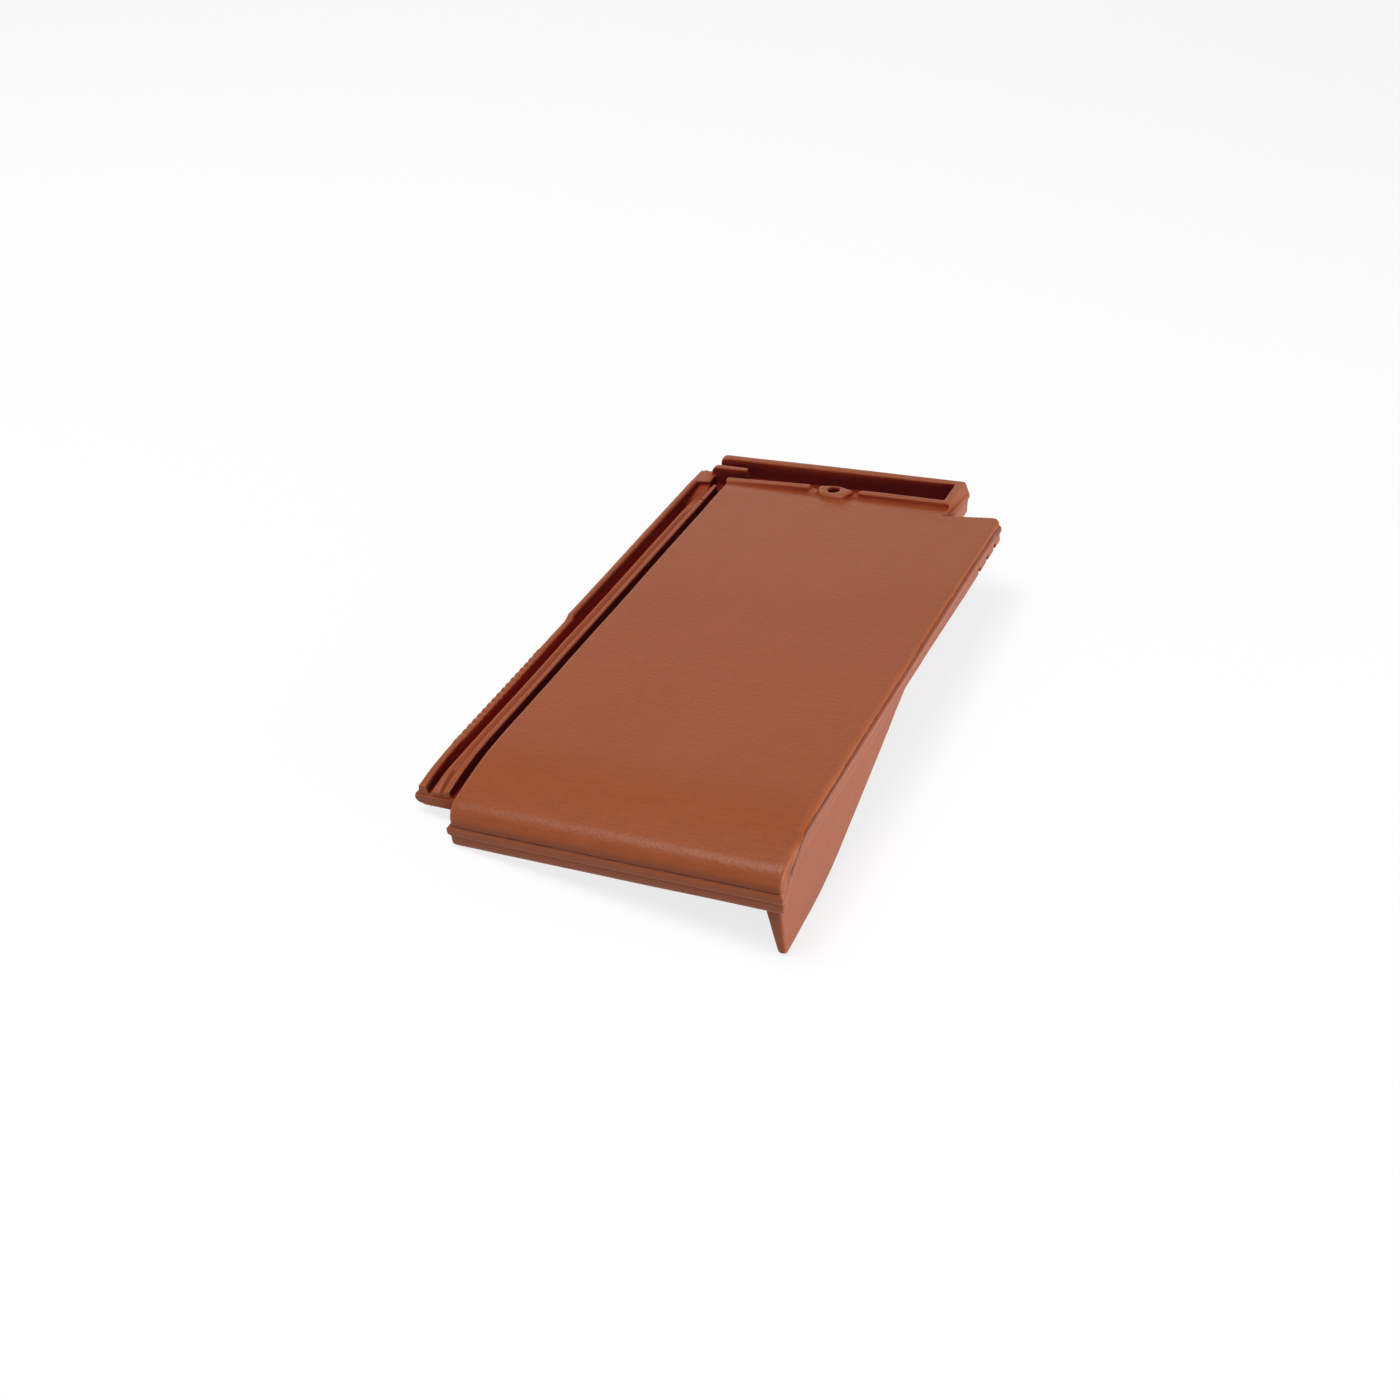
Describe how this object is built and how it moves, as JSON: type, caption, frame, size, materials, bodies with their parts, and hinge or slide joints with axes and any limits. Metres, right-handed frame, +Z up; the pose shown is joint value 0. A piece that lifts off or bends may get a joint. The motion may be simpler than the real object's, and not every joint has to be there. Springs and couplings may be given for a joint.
{
  "type": "flat interlocking clay roof tile, right-hand verge tile",
  "caption": "Flat interlocking clay roof tile for the right-hand verge, with side and head locks, a rolled nose, a nail boss and a hanging verge skirt.",
  "frame": {"origin": "on the floor under the middle of the tile as it lies unheld", "axes": "+X across the tile towards the verge skirt, +Y up the roof towards the head lock, +Z up from the floor that the tile lies on; the tile's own flat top leans about 9 degrees"},
  "size_m": [0.2716, 0.4828, 0.0744],
  "materials": {
    "fired_clay": "matt natural red, fine pressed grain"
  },
  "bodies": {
    "root": {"verge_tile": "fired_clay"}
  },
  "joints": []
}
